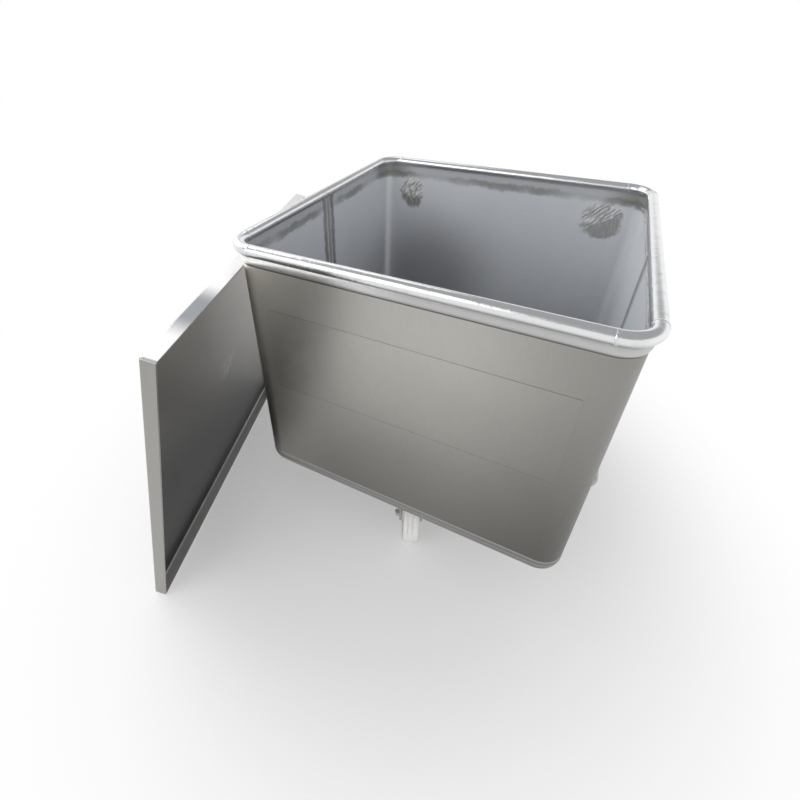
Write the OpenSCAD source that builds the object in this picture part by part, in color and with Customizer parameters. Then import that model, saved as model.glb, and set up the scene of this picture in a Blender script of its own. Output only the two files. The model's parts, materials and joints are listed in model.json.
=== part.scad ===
/* [Tub] */
// Outside width of the tub, left to right
tub_w = 638; // [540:5:760]
// Outside depth of the tub, front to back
tub_d = 638; // [540:5:760]
// Height from the underside of the pan to the centre of the rim tube
tub_h = 534; // [420:1:650]
// Thickness of the sheet that the walls and the pan are bent from
sheet = 2; // [1.5:0.5:3]
// Outside radius of the upright corners
corner_r = 45; // [40:1:70]
// Outside radius of the bend where the walls run into the floor
bend_r = 30; // [15:1:38]
// Width of the weld bead along each side seam
seam_bead_w = 9; // [5:0.5:14]
// Height of the weld bead along each side seam
seam_bead_h = 1.4; // [0.6:0.1:2.4]

/* [Rim] */
// Outside diameter of the rim tube
rim_tube_d = 21.3; // [20:0.1:32]
// Wall of the rim tube
rim_tube_wall = 2; // [1:0.5:3]
// How far the rim tube's centreline lies outside the walls
rim_offset = 1; // [0:0.5:4]
// Height from the lower edge of the collar's rounded bar to the rim tube's centre
collar_h = 28; // [24:1:45]
// Thickness of the collar's bar along its edges
collar_proud = 1; // [0.5:0.5:2]
// How far the collar's bar bulges beyond its edges
collar_bulge = 2; // [1:0.5:3]

/* [Push handle] */
// Outside diameter of the handle tube
handle_d = 25; // [18:1:32]
// Wall of the handle tube
handle_wall = 2; // [1:0.5:3]
// Distance from the rear wall to the handle bar's centre
handle_reach = 95; // [80:1:130]
// Distance from each side wall to the handle's leg
handle_inset = 79; // [65:1:120]
// Distance from the rim tube's centre down to the handle
handle_drop = 82; // [65:1:150]
// Bend radius of the handle tube at its centreline
handle_bend = 60; // [40:1:70]

/* [Lift bars] */
// Diameter of the lift bar's rod
lift_rod_d = 20; // [14:1:24]
// Distance from the side wall to the rod's centre
lift_reach = 24; // [23:1:45]
// Distance between the centres of the rod's two legs
lift_span = 310; // [200:5:400]
// Height of the rod's centre above the underside of the pan
lift_rise = 99; // [60:1:180]
// Bend radius of the rod at its centreline
lift_bend = 21; // [16:1:22]

/* [Wheels] */
// Diameter of the wheels
wheel_d = 125; // [100:1:150]
// Width of the tread
wheel_w = 36; // [28:1:45]
// Radius that rounds the edges of the tread
tread_round = 6; // [2:0.5:8]
// Depth of the tread ring, from the tread to the recess in the wheel's side
tread_depth = 15; // [10:1:20]
// Thickness of the web between the tread and the hub
web_t = 18; // [12:1:24]
// Diameter of the hub
hub_d = 42; // [30:1:50]
// How far the hub stands out beyond the tread on each side
hub_proud = 3; // [1:0.5:6]
// Number of ribs in the wheel's side
rib_count = 6; // [4:1:9]
// Thickness of the ribs
rib_t = 5; // [3:0.5:8]
// How far the ribs lie below the edge of the tread
rib_low = 3; // [1:0.5:6]
// Diameter of the axle bolt
axle_d = 10; // [8:1:12]
// Outside diameter of the bush that the wheel turns on
bush_d = 16; // [15:1:20]

/* [Casters] */
// Distance from the front and rear walls to the swivel casters' kingpins
swivel_inset = 109; // [100:1:150]
// Distance from the side walls to the middle of the fixed casters
fixed_inset = 89; // [80:1:140]
// Distance from the kingpin to the axle of a swivel caster
trail = 34; // [25:1:45]
// How far the front caster is turned at rest, in degrees
front_turn = 22; // [-60:1:60]
// How far the rear caster is turned at rest, in degrees
rear_turn = -14; // [-60:1:60]
// Gap between the top of the wheel and the fork's crown
crown_gap = 8; // [8:0.5:20]
// Thickness of the fork's crown
crown_t = 5; // [4:0.5:8]
// Thickness of the fork's and the bracket's legs
leg_t = 4; // [3:0.5:6]
// Inside radius of the bend between a leg and the crown
leg_bend = 6; // [3:0.5:8]
// Corner radius of the fork's crown seen from above
crown_corner = 14; // [6:1:20]
// Width of a leg's rounded end round the axle
leg_end_w = 34; // [28:1:40]
// Distance between the fork's crown and the top plate
race_gap = 10; // [8:0.5:14]
// Thickness of the caster's top plate
plate_t = 5; // [4:0.5:8]
// Length of the top plate, along the wheel's axle
plate_w = 105; // [100:1:130]
// Width of the top plate, across the wheel's axle
plate_d = 85; // [80:1:110]
// Distance between the plate bolts along the plate's length
bolt_pitch_w = 80; // [80:1:90]
// Distance between the plate bolts across the plate's length
bolt_pitch_d = 60; // [60:1:66]
// Diameter of the plate bolts
bolt_d = 8; // [6:1:10]
// Thickness of the pad under the pan
pad_t = 6; // [4:0.5:10]
// How far the pad stands out beyond the top plate on each side
pad_margin = 5; // [2:0.5:10]
// Diameter of the kingpin
kingpin_d = 12; // [10:1:14]
// Diameter of the balls in the swivel head
ball_d = 6.4; // [4.4:0.1:6.4]
// Number of balls in the swivel head
ball_count = 18; // [10:1:20]

/* [Lid] */
// Clearance between the rim tube and the lid's flange on each side
lid_clear = 2.5; // [2:0.5:10]
// Thickness of the lid's sheet
lid_sheet = 1.5; // [1:0.5:2]
// Depth of the lid's flange
lid_flange = 24; // [18:1:40]
// Outside bend radius of the lid's edges and corners
lid_bend = 4; // [3:0.5:6]
// Width of the hem that is folded back inside the flange
lid_hem = 9; // [5:0.5:12]
// Lean of the standing lid, in degrees from upright
lid_lean = 14.2; // [10:0.1:20]
// Turn of the standing lid seen from above, in degrees
lid_turn = 17; // [10:0.1:25]
// Distance that the standing lid reaches forward of the tub's corner
lid_ahead = 292; // [200:1:400]
// Gap between the standing lid and the tub that it leans on
lid_rest_gap = 0.5; // [0.3:0.1:2]
// Diameter of the lid's grip rod
grip_d = 12; // [8:1:16]
// Distance from the lid to the grip's centre
grip_reach = 42; // [36:1:60]
// Distance between the grip's legs
grip_span = 150; // [110:1:220]
// Bend radius of the grip at its centreline
grip_bend = 20; // [14:1:28]

/* [Clearances] */
// Radial running clearance of wheels and kingpins
run_clear = 0.05; // [0.02:0.01:0.1]
// Radial clearance round bolts that are clamped
bolt_clear = 0.2; // [0.1:0.05:0.5]
// Gap between surfaces that move past each other
slide_gap = 0.3; // [0.2:0.05:0.6]
// Gap between a rod or tube and the weld or seat round it
seat_gap = 0.1; // [0.05:0.05:0.3]
// Gap between the hub's end and the leg beside it
hub_gap = 1; // [0.5:0.1:2]

/* [Hidden] */
$fn = 64;

steel = "silver";
bright_steel = "gainsboro";
weld_grey = "darkgray";
nylon = "ivory";

axle_z = wheel_d / 2;
crown_z = wheel_d + crown_gap;
crown_top = crown_z + crown_t;
plate_z = crown_top + race_gap;
pad_z = plate_z + plate_t;
pan_z = pad_z + pad_t;
rim_z = pan_z + tub_h;
wall_z = pan_z + bend_r;
collar_z = rim_z - collar_h;
collar_face = collar_h - rim_tube_d / 2;
bulge_r = (collar_face * collar_face / 4 + collar_bulge * collar_bulge) / (2 * collar_bulge);
swivel_y = tub_d / 2 - swivel_inset;
fixed_x = tub_w / 2 - fixed_inset;

hub_half = wheel_w / 2 + hub_proud;
leg_x = hub_half + hub_gap;
bore_d = bush_d + 2 * run_clear;
axle_hole_d = axle_d + 2 * bolt_clear;
bolt_hole_d = bolt_d + 2 * bolt_clear;
kingpin_nut_w = 1.5 * kingpin_d;
kingpin_nut_h = 0.65 * kingpin_d;
kingpin_head_d = 1.5 * kingpin_d;
kingpin_head_h = 0.55 * plate_t;
race_r = kingpin_d / 2 + 18.5;
race_w = 1.4 * ball_d;
race_t = (race_gap - ball_d - 2 * slide_gap) / 2;
skirt_r = race_r + race_w / 2 + 2;
skirt_t = 2;
skirt_h = 0.7 * race_gap;
crown_w = 2 * (leg_x + leg_t);
crown_d = 2 * (race_r + race_w / 2 + 2);
head_w = 1.6;
head_h = 0.65;

bar_weld = 6;
grip_weld = 4;
handle_z = rim_z - handle_drop;
lift_z = pan_z + lift_rise;

lid_w = tub_w + 2 * rim_offset + rim_tube_d + 2 * lid_clear + 2 * lid_sheet;
lid_l = tub_d + 2 * rim_offset + rim_tube_d + 2 * lid_clear + 2 * lid_sheet;
tube_low = rim_z - rim_tube_d / 2;
tube_top = rim_z + rim_tube_d / 2;
lean_z = rim_z + rim_tube_d / 2 * sin(lid_lean);
lid_edge_z = lid_w * cos(lid_lean);
lid_hem_z = (lid_w - 2 * lid_sheet) * cos(lid_lean);
lid_over_rim = lid_hem_z > tube_top + slide_gap;
touch_z = lid_over_rim ? lean_z : min(max(lean_z, min(lid_hem_z, tube_top)), lid_edge_z);
touch_in = lid_over_rim ? (lid_flange - lid_sheet) / cos(lid_lean) : 0;
rest_out = (touch_z > tube_low ? tube_out(touch_z) : collar_out(touch_z)) - touch_in;
lid_side = [cos(lid_turn), sin(lid_turn)];
lid_along = [-sin(lid_turn), cos(lid_turn)];
lid_corner = [-tub_w / 2 + corner_r, -tub_d / 2 + corner_r];
lid_back = corner_r + rest_out + lid_rest_gap + touch_z * tan(lid_lean);
lid_foot = lid_corner - lid_back * lid_side - lid_ahead * lid_along;

// How far the collar stands out beyond the walls at height z
function collar_out(z) =
    let (mid = collar_z + collar_face / 2, off = max(mid - z, 0))
    z < collar_z ? 0 : collar_proud + collar_bulge - bulge_r + sqrt(bulge_r * bulge_r - off * off);

// How far the rim tube stands out beyond the walls at height z
function tube_out(z) = rim_offset + sqrt(rim_tube_d * rim_tube_d / 4 - (z - rim_z) * (z - rim_z));

// Where the tangent from point p touches the circle of radius r about c; side is 1 or -1
function tangent_point(p, c, r, side) =
    let (v = p - c, far = norm(v), turn = atan2(v[1], v[0]) + side * acos(r / far))
    c + r * [cos(turn), sin(turn)];

module rounded_rect(w, d, r) {
    square([w - 2 * r, d], center = true);
    square([w, d - 2 * r], center = true);
    for (x = [-1, 1], y = [-1, 1])
        translate([x * (w / 2 - r), y * (d / 2 - r)]) circle(r);
}

// Sweeps a profile round a rectangle with rounded corners: the profile's x is the distance
// outside the rectangle and its y is up
module sweep_round(w, d, r) {
    for (k = [0 : 3]) {
        run = k % 2 == 0 ? w : d;
        out = k % 2 == 0 ? d : w;
        rotate(90 * k) {
            translate([run / 2 - r, -out / 2, 0])
                rotate([90, 0, -90]) linear_extrude(run - 2 * r) children();
            translate([run / 2 - r, -out / 2 + r, 0])
                rotate(-90) rotate_extrude(angle = 90) translate([r, 0]) children();
        }
    }
}

// Quarter bend of a sheet, from a floor at y = 0 up to a wall whose outer face is at x = 0
module bend_profile(bend, t) {
    intersection() {
        translate([-bend, bend]) difference() {
            circle(bend);
            circle(bend - t);
        }
        translate([-bend, 0]) square(bend);
    }
}

// Open pan bent from sheet, with its floor at z = 0
module pan_floor(w, d, corner, bend, t) {
    linear_extrude(t) rounded_rect(w - 2 * bend, d - 2 * bend, corner - bend);
}

module bar_section(d, wall) {
    difference() {
        circle(d = d);
        if (wall < d / 2) circle(d = d - 2 * wall);
    }
}

// U-shaped bar that stands on the plane y = 0 and reaches along +Y
module u_bar(span, reach, bend, d, wall) {
    for (s = [-1, 1]) {
        translate([s * span / 2, 0, 0])
            rotate([-90, 0, 0]) linear_extrude(reach - bend) bar_section(d, wall);
        translate([s * (span / 2 - bend), reach - bend, 0])
            rotate(s > 0 ? 0 : 90) rotate_extrude(angle = 90) translate([bend, 0]) bar_section(d, wall);
    }
    translate([bend - span / 2, reach, 0])
        rotate([0, 90, 0]) linear_extrude(span - 2 * bend) bar_section(d, wall);
}

// Fillet welds round the two feet of a U-shaped bar
module u_bar_welds(span, d, size) {
    for (s = [-1, 1])
        translate([s * span / 2, 0, 0])
            rotate([-90, 0, 0]) rotate_extrude()
                translate([d / 2 + seat_gap, 0]) polygon([[0, 0], [size, 0], [0, size]]);
}

module hex_prism(width, h) {
    cylinder(d = width / cos(30), h = h, $fn = 6);
}

module at_front() { translate([0, -swivel_y, 0]) children(); }
module at_rear() { translate([0, swivel_y, 0]) children(); }
module at_left() { translate([-fixed_x, 0, 0]) children(); }
module at_right() { translate([fixed_x, 0, 0]) children(); }
module at_axle(back) { translate([0, -back, axle_z]) rotate([0, 90, 0]) children(); }
module at_plate_bolts() {
    for (x = [-1, 1], y = [-1, 1])
        translate([x * bolt_pitch_w / 2, y * bolt_pitch_d / 2, 0]) children();
}

// The standing lid: x = 0 is the open face, y runs along the floor, z runs up the lid
module at_lid() {
    translate([lid_foot[0], lid_foot[1], 0]) rotate(lid_turn) rotate([0, lid_lean, 0]) children();
}

module rim_seat() { translate([rim_offset, 0]) circle(d = rim_tube_d + 2 * seat_gap); }

// Section of the walls, whose upper edge is hollowed to carry the rim tube
module wall_profile() {
    difference() {
        translate([-sheet, wall_z - rim_z]) square([sheet, rim_z - wall_z]);
        rim_seat();
    }
}

module half_shell(near_y) {
    intersection() {
        translate([0, 0, rim_z]) sweep_round(tub_w, tub_d, corner_r) wall_profile();
        translate([-tub_w / 2, near_y, pan_z]) cube([tub_w, tub_d / 2, tub_h]);
    }
}

module front_shell() { color(steel) half_shell(-tub_d / 2); }
module rear_shell() { color(steel) half_shell(0); }

module bottom_pan() {
    color(steel) translate([0, 0, pan_z]) {
        sweep_round(tub_w, tub_d, corner_r) bend_profile(bend_r, sheet);
        pan_floor(tub_w, tub_d, corner_r, bend_r, sheet);
    }
}

// Bar with a rounded outer face that lies on the walls under the rim tube
module collar_profile() {
    difference() {
        intersection() {
            translate([collar_proud + collar_bulge - bulge_r, -collar_h + collar_face / 2]) circle(bulge_r);
            translate([0, -collar_h]) square([collar_proud + collar_bulge, collar_face]);
        }
        rim_seat();
    }
}

module rim_collar() {
    color(steel) translate([0, 0, rim_z]) sweep_round(tub_w, tub_d, corner_r) collar_profile();
}

module rim_tube() {
    color(bright_steel) translate([0, 0, rim_z])
        sweep_round(tub_w, tub_d, corner_r)
            translate([rim_offset, 0]) bar_section(rim_tube_d, rim_tube_wall);
}

// Low round bead on the inner face of each side wall, where the two half shells meet
module seam_welds() {
    bead_r = (seam_bead_w * seam_bead_w / 4 + seam_bead_h * seam_bead_h) / (2 * seam_bead_h);
    color(weld_grey) translate([0, 0, wall_z])
        for (k = [0, 180]) rotate(k)
            translate([tub_w / 2 - sheet, 0, 0]) linear_extrude(tube_low - wall_z) intersection() {
                translate([bead_r - seam_bead_h, 0]) circle(bead_r);
                translate([-seam_bead_h, -seam_bead_w / 2]) square([seam_bead_h, seam_bead_w]);
            }
}

module on_rear_wall() { translate([0, tub_d / 2, handle_z]) children(); }
module on_left_wall() { translate([-tub_w / 2, 0, lift_z]) rotate(90) children(); }
module on_right_wall() { translate([tub_w / 2, 0, lift_z]) rotate(-90) children(); }

module push_handle() {
    color(bright_steel) on_rear_wall()
        u_bar(tub_w - 2 * handle_inset, handle_reach, handle_bend, handle_d, handle_wall);
}

module handle_welds() {
    color(weld_grey) on_rear_wall() u_bar_welds(tub_w - 2 * handle_inset, handle_d, bar_weld);
}

module lift_bar() {
    color(bright_steel) u_bar(lift_span, lift_reach, lift_bend, lift_rod_d, lift_rod_d);
}

module left_lift_bar() { on_left_wall() lift_bar(); }
module right_lift_bar() { on_right_wall() lift_bar(); }

module lift_bar_welds() {
    color(weld_grey) {
        on_left_wall() u_bar_welds(lift_span, lift_rod_d, lift_reach - lift_bend + 1);
        on_right_wall() u_bar_welds(lift_span, lift_rod_d, lift_reach - lift_bend + 1);
    }
}

module caster_pad() {
    translate([0, 0, pad_z]) difference() {
        linear_extrude(pad_t) rounded_rect(plate_w + 2 * pad_margin, plate_d + 2 * pad_margin, pad_margin);
        at_plate_bolts() translate([0, 0, -1]) cylinder(d = bolt_hole_d, h = pad_t + 2);
    }
}

module caster_pads() {
    color(steel) {
        at_front() caster_pad();
        at_rear() caster_pad();
        at_left() caster_pad();
        at_right() caster_pad();
    }
}

module plate_bolt_set() {
    at_plate_bolts() {
        translate([0, 0, plate_z - head_h * bolt_d]) hex_prism(head_w * bolt_d, head_h * bolt_d);
        translate([0, 0, plate_z - 1]) cylinder(d = bolt_d, h = plate_t + pad_t + 1 - slide_gap);
    }
}

module plate_bolts() {
    color(bright_steel) {
        at_front() plate_bolt_set();
        at_rear() plate_bolt_set();
        at_left() plate_bolt_set();
        at_right() plate_bolt_set();
    }
}

module plate_blank() {
    translate([0, 0, plate_z]) linear_extrude(plate_t) rounded_rect(plate_w, plate_d, pad_margin);
}

module plate_bolt_holes() {
    at_plate_bolts() translate([0, 0, plate_z - 1]) cylinder(d = bolt_hole_d, h = plate_t + 2);
}

module ring(outer_r, inner_r, z, h) {
    translate([0, 0, z]) difference() {
        cylinder(r = outer_r, h = h);
        translate([0, 0, -1]) cylinder(r = inner_r, h = h + 2);
    }
}

// Top plate with the upper ball track and the skirt that hides the balls
module top_plate() {
    color(steel) difference() {
        union() {
            plate_blank();
            ring(race_r + race_w / 2, race_r - race_w / 2, plate_z - race_t, race_t + 1);
            ring(skirt_r + skirt_t, skirt_r, plate_z - skirt_h, skirt_h + 1);
        }
        plate_bolt_holes();
        translate([0, 0, crown_top]) cylinder(d = kingpin_d + 2 * bolt_clear, h = race_gap + 2 * plate_t);
        translate([0, 0, pad_z - kingpin_head_h]) cylinder(d = kingpin_head_d + 2 * bolt_clear, h = plate_t);
    }
}

// Pin with a flat head that lies flush in the top plate, and its nut under the fork's crown
module kingpin() {
    nut_z = crown_z - slide_gap - kingpin_nut_h;
    color(bright_steel) {
        translate([0, 0, pad_z - kingpin_head_h]) cylinder(d = kingpin_head_d, h = kingpin_head_h);
        translate([0, 0, nut_z]) cylinder(d = kingpin_d, h = pad_z - kingpin_head_h / 2 - nut_z);
        translate([0, 0, nut_z]) hex_prism(kingpin_nut_w, kingpin_nut_h);
    }
}

module swivel_balls() {
    color(bright_steel)
        for (k = [0 : ball_count - 1])
            rotate(k * 360 / ball_count)
                translate([race_r, 0, crown_top + race_gap / 2]) sphere(d = ball_d);
}

// Outline of the legs seen along the axle: a flat top, and sides that taper to a round end
module leg_outline(back, top_z) {
    end = [-back, axle_z];
    end_r = leg_end_w / 2;
    half = crown_d / 2;
    low_z = top_z - crown_t - leg_bend;
    far = tangent_point([-half, low_z], end, end_r, 1);
    near = tangent_point([half, low_z], end, end_r, -1);
    polygon([[-half, top_z], [-half, low_z], far, near, [half, low_z], [half, top_z]]);
    translate(end) circle(end_r);
}

// Arch with a flat top and round shoulders
module arch(half, top, r) {
    translate([-half, 0]) square([2 * half, top - r]);
    translate([r - half, 0]) square([2 * (half - r), top]);
    for (s = [-1, 1])
        translate([s * (half - r), top - r]) circle(r);
}

// Outline of the fork seen from above: rounded at the crown's front, and open to the legs behind it
module crown_plan(back) {
    rounded_rect(crown_w, crown_d, crown_corner);
    translate([-crown_w / 2, -back - leg_end_w]) square([crown_w, back + leg_end_w]);
}

// Plate bent into a crown and two legs, and cut to the legs' outline
module bent_legs(back, top_z) {
    deep = 2 * (back + crown_d);
    difference() {
        intersection() {
            rotate([90, 0, 0]) linear_extrude(deep, center = true) difference() {
                arch(leg_x + leg_t, top_z, leg_bend + leg_t);
                translate([0, -leg_end_w]) arch(leg_x, top_z - crown_t + leg_end_w, leg_bend);
            }
            rotate([90, 0, 90]) linear_extrude(2 * crown_w, center = true) leg_outline(back, top_z);
        }
        at_axle(back) cylinder(d = axle_hole_d, h = 2 * crown_w, center = true);
    }
}

// Swivel fork: bent plate with the lower ball track on its crown, and two legs that trail to the axle
module swivel_fork() {
    color(steel) difference() {
        union() {
            intersection() {
                bent_legs(trail, crown_top);
                linear_extrude(crown_top) crown_plan(trail);
            }
            ring(race_r + race_w / 2, race_r - race_w / 2, crown_top - 1, race_t + 1);
        }
        translate([0, 0, crown_z - 1]) cylinder(d = kingpin_d + 2 * run_clear, h = crown_t + 2);
    }
}

// Fixed bracket: the top plate over a bent plate with two straight legs
module fixed_bracket() {
    color(steel) {
        difference() {
            plate_blank();
            plate_bolt_holes();
        }
        bent_legs(0, plate_z + plate_t / 2);
    }
}

// Half section of the wheel: round-edged tread ring, web and hub
module wheel_section() {
    rim_r = wheel_d / 2;
    translate([rim_r - tread_depth, -wheel_w / 2]) square([tread_depth - tread_round, wheel_w]);
    translate([rim_r - tread_round - 1, tread_round - wheel_w / 2])
        square([tread_round + 1, wheel_w - 2 * tread_round]);
    for (s = [-1, 1])
        translate([rim_r - tread_round, s * (wheel_w / 2 - tread_round)]) circle(tread_round);
    translate([bore_d / 2, -web_t / 2]) square([rim_r - tread_round - bore_d / 2, web_t]);
    translate([bore_d / 2, -hub_half]) square([(hub_d - bore_d) / 2, 2 * hub_half]);
}

module wheel_ribs() {
    reach = wheel_d / 2 - tread_depth - hub_d / 2;
    half = wheel_w / 2 - rib_low;
    for (k = [0 : rib_count - 1])
        rotate(k * 360 / rib_count)
            translate([hub_d / 2 - 1, -rib_t / 2, -half]) cube([reach + 2, rib_t, 2 * half]);
}

module wheel() {
    color(nylon) {
        rotate_extrude() wheel_section();
        wheel_ribs();
    }
}

module bush() {
    color(bright_steel) difference() {
        cylinder(d = bush_d, h = 2 * leg_x, center = true);
        cylinder(d = axle_hole_d, h = 2 * leg_x + 2, center = true);
    }
}

module axle_bolt() {
    out = leg_x + leg_t;
    color(bright_steel) {
        translate([0, 0, out]) hex_prism(head_w * axle_d, head_h * axle_d);
        translate([0, 0, -out - axle_d]) cylinder(d = axle_d, h = 2 * out + axle_d + 1);
    }
}

module axle_nut() {
    nut_h = 0.8 * axle_d;
    color(bright_steel) translate([0, 0, -leg_x - leg_t - nut_h]) difference() {
        hex_prism(head_w * axle_d, nut_h);
        translate([0, 0, -1]) cylinder(d = axle_d + 2 * seat_gap, h = nut_h + 2);
    }
}

module front_top_plate() { at_front() top_plate(); }
module front_kingpin() { at_front() kingpin(); }
module front_balls() { at_front() swivel_balls(); }
module front_fork() { at_front() rotate(front_turn) swivel_fork(); }
module front_wheel() { at_front() rotate(front_turn) at_axle(trail) wheel(); }
module front_bush() { at_front() rotate(front_turn) at_axle(trail) bush(); }
module front_axle_bolt() { at_front() rotate(front_turn) at_axle(trail) axle_bolt(); }
module front_axle_nut() { at_front() rotate(front_turn) at_axle(trail) axle_nut(); }

module rear_top_plate() { at_rear() top_plate(); }
module rear_kingpin() { at_rear() kingpin(); }
module rear_balls() { at_rear() swivel_balls(); }
module rear_fork() { at_rear() rotate(rear_turn) swivel_fork(); }
module rear_wheel() { at_rear() rotate(rear_turn) at_axle(trail) wheel(); }
module rear_bush() { at_rear() rotate(rear_turn) at_axle(trail) bush(); }
module rear_axle_bolt() { at_rear() rotate(rear_turn) at_axle(trail) axle_bolt(); }
module rear_axle_nut() { at_rear() rotate(rear_turn) at_axle(trail) axle_nut(); }

module left_bracket() { at_left() fixed_bracket(); }
module left_wheel() { at_left() at_axle(0) wheel(); }
module left_bush() { at_left() at_axle(0) bush(); }
module left_axle_bolt() { at_left() rotate(180) at_axle(0) axle_bolt(); }
module left_axle_nut() { at_left() rotate(180) at_axle(0) axle_nut(); }

module right_bracket() { at_right() fixed_bracket(); }
module right_wheel() { at_right() at_axle(0) wheel(); }
module right_bush() { at_right() at_axle(0) bush(); }
module right_axle_bolt() { at_right() at_axle(0) axle_bolt(); }
module right_axle_nut() { at_right() at_axle(0) axle_nut(); }

// Flange of the lid with its hem folded back inside
module lid_profile() {
    bend_profile(lid_bend, lid_sheet);
    translate([-lid_sheet, lid_bend]) square([lid_sheet, lid_flange - lid_bend]);
    translate([-2 * lid_sheet, lid_flange - lid_hem]) square([2 * lid_sheet, lid_hem]);
}

module lid_tray() {
    corner = lid_bend + 1;
    color(steel) at_lid() translate([-lid_flange, lid_l / 2, lid_w / 2]) rotate([0, 90, 0]) {
        sweep_round(lid_w, lid_l, corner) lid_profile();
        pan_floor(lid_w, lid_l, corner, lid_bend, lid_sheet);
    }
}

module on_lid_back() {
    at_lid() translate([-lid_flange, lid_l / 2, lid_w / 2])
        rotate([90, 0, 90]) rotate([-90, 0, 180]) children();
}

module lid_grip() {
    color(bright_steel) on_lid_back() u_bar(grip_span, grip_reach, grip_bend, grip_d, grip_d);
}

module lid_grip_welds() {
    color(weld_grey) on_lid_back() u_bar_welds(grip_span, grip_d, grip_weld);
}

front_shell();
rear_shell();
bottom_pan();
rim_collar();
rim_tube();
seam_welds();
push_handle();
handle_welds();
left_lift_bar();
right_lift_bar();
lift_bar_welds();
caster_pads();
plate_bolts();
front_top_plate();
front_kingpin();
front_balls();
front_fork();
front_wheel();
front_bush();
front_axle_bolt();
front_axle_nut();
rear_top_plate();
rear_kingpin();
rear_balls();
rear_fork();
rear_wheel();
rear_bush();
rear_axle_bolt();
rear_axle_nut();
left_bracket();
left_wheel();
left_bush();
left_axle_bolt();
left_axle_nut();
right_bracket();
right_wheel();
right_bush();
right_axle_bolt();
right_axle_nut();
lid_tray();
lid_grip();
lid_grip_welds();
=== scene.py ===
"""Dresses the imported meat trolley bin: satin sheet steel, weld beads, a clear film and nylon wheels.

Every piece is in metres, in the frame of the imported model. The file is laid out as an add-on and is
run as a script.
"""

import json
import math

import bpy
from bpy.props import FloatProperty, FloatVectorProperty, IntProperty, PointerProperty
from mathutils import Matrix, Vector

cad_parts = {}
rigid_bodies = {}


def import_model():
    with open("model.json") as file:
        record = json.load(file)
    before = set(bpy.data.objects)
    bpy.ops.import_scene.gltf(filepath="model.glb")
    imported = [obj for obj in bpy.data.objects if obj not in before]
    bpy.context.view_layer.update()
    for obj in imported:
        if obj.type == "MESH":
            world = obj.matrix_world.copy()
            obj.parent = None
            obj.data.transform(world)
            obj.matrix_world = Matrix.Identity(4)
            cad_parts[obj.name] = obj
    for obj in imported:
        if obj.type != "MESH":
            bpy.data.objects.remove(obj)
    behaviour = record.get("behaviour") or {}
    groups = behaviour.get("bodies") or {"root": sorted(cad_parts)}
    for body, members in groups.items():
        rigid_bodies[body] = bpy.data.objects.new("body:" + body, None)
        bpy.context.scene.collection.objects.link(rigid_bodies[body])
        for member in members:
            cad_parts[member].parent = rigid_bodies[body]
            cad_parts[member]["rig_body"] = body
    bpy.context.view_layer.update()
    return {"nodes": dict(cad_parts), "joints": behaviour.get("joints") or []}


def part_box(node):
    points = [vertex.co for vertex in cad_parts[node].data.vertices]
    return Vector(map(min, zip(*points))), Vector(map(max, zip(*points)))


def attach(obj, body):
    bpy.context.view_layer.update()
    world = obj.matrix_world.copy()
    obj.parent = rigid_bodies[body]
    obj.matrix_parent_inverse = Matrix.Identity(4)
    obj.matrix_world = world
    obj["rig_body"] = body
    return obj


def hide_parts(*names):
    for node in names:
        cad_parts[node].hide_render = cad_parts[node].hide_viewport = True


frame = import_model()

bl_info = {
    "name": "Meat trolley bin",
    "version": (1, 0, 0),
    "blender": (4, 5, 0),
    "location": "View3D > Sidebar > Trolley",
    "description": "Finishes and small fittings of a stainless meat trolley bin with a loose lid",
    "category": "Object",
}

TUB_BODY = frame["nodes"]["front_shell"]["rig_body"]
LID_BODY = frame["nodes"]["lid_tray"]["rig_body"]

WALL_LOW, WALL_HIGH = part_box("front_shell")
HALF_W = WALL_HIGH.x
HALF_D = -WALL_LOW.y
SEAM_Z = WALL_LOW.z
CORNER_R = 0.045
COLLAR_Z, COLLAR_TOP = (point.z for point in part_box("rim_collar"))
PAN_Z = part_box("bottom_pan")[0].z
RIM_LOW, RIM_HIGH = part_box("rim_tube")
RIM_R = (RIM_HIGH.z - RIM_LOW.z) / 2
RIM_Z = (RIM_HIGH.z + RIM_LOW.z) / 2
RIM_W = RIM_HIGH.x - RIM_R
RIM_D = RIM_HIGH.y - RIM_R
TUB_MIDDLE = (0, 0, (PAN_Z + RIM_Z) / 2)
HANDLE_LOW, HANDLE_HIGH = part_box("push_handle")
HANDLE_Z = (HANDLE_LOW.z + HANDLE_HIGH.z) / 2
HANDLE_R = HANDLE_HIGH.z - HANDLE_Z
HANDLE_X = HANDLE_HIGH.x - HANDLE_R
LIFT_LOW, LIFT_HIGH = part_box("right_lift_bar")
LIFT_Z = (LIFT_LOW.z + LIFT_HIGH.z) / 2
LIFT_R = LIFT_HIGH.z - LIFT_Z
LIFT_Y = LIFT_HIGH.y - LIFT_R

# Places of marks on the sheet; SKIN is how near to a face of the lid a point counts as on it.
FOLD_RISE = 0.0115
SEAM_STRIP = 0.012
SEAM_EDGE = 0.0165
PATCH_LEFT, PATCH_RIGHT, PATCH_TALL = 0.034, 0.047, 0.045
# Middle of a darker spot low on the left of the rear wall, inside.
REAR_DARK_SPOT = (-0.17, HALF_D, 0.38)
SCRATCH_ALONG, SCRATCH_UP = 0.30, 0.40
# Distance along the lid's top flange of a darker spot in its painted highlight.
FLANGE_DARK_SPOT_AT = 0.125
SKIN = 0.0008

# Wheel radii at which the tread begins and the recess ends.
TREAD_R, RECESS_R = 0.050, 0.030

# A weld ripple's least and greatest share of its size, and its length over the pitch.
RIPPLE_LEAST, RIPPLE_MOST, RIPPLE_LENGTH = 0.82, 1.12, 2.1
# Over a bead's thickness: its greatest pitch, and how far out its middle lies.
PITCH_MOST, BEAD_OUT, PAD_BEAD_OUT = 0.6, 0.3, 0.2
LIFT_BEAD = 0.7
SEAM_END, PAD_CORNER_R = 0.002, 0.005
RIM_JOINT_ARC = math.radians(115)

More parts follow.
